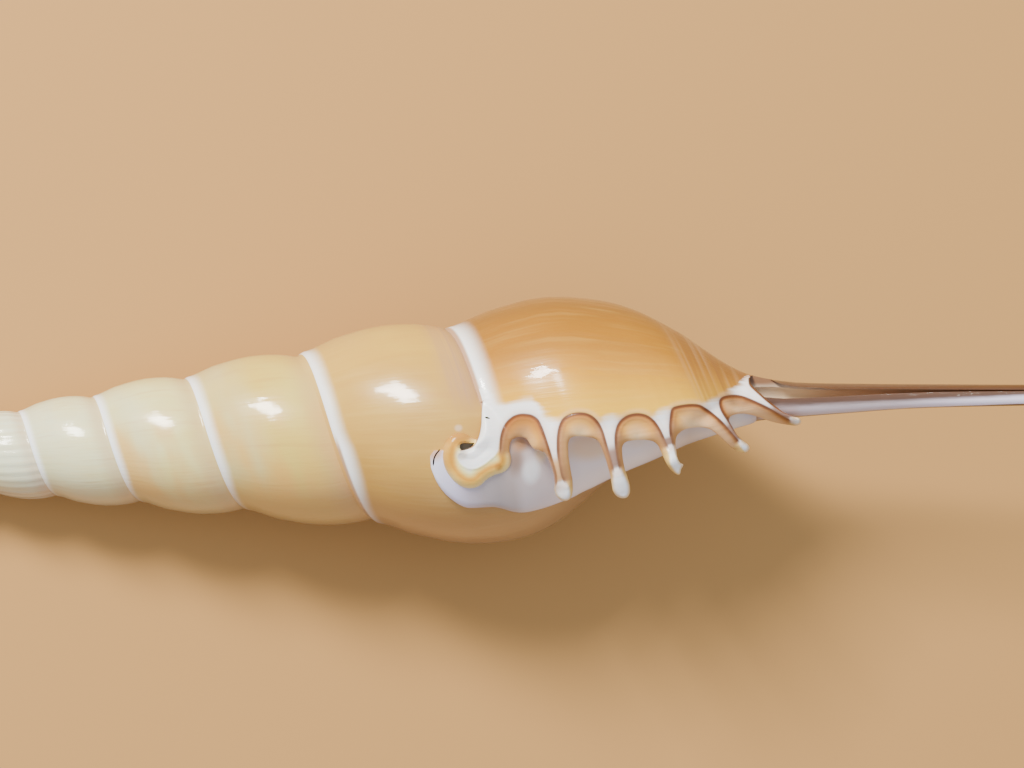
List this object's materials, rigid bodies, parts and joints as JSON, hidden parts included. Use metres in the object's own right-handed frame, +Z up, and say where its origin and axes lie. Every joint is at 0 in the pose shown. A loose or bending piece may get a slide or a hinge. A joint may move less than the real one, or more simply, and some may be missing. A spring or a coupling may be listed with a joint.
{
  "type": "tibia shell",
  "caption": "Long glossy spindle-shaped sea shell with a tall spire, a fingered outer lip, a curled posterior canal and a long straight siphonal canal, lying on its side.",
  "frame": {"origin": "centre of the bottom of the bounding box, on the surface the shell lies on", "axes": "+X along the shell from the apex to the siphonal canal's tip, +Z up, the fingers of the outer lip point to -Y"},
  "size_m": [0.2372, 0.0344, 0.0367],
  "materials": {
    "shell_glaze": "polished natural shell, cream on the spire to orange-tan on the last whorl, white callus"
  },
  "bodies": {
    "root": {"tibia_shell": "shell_glaze"}
  },
  "joints": []
}
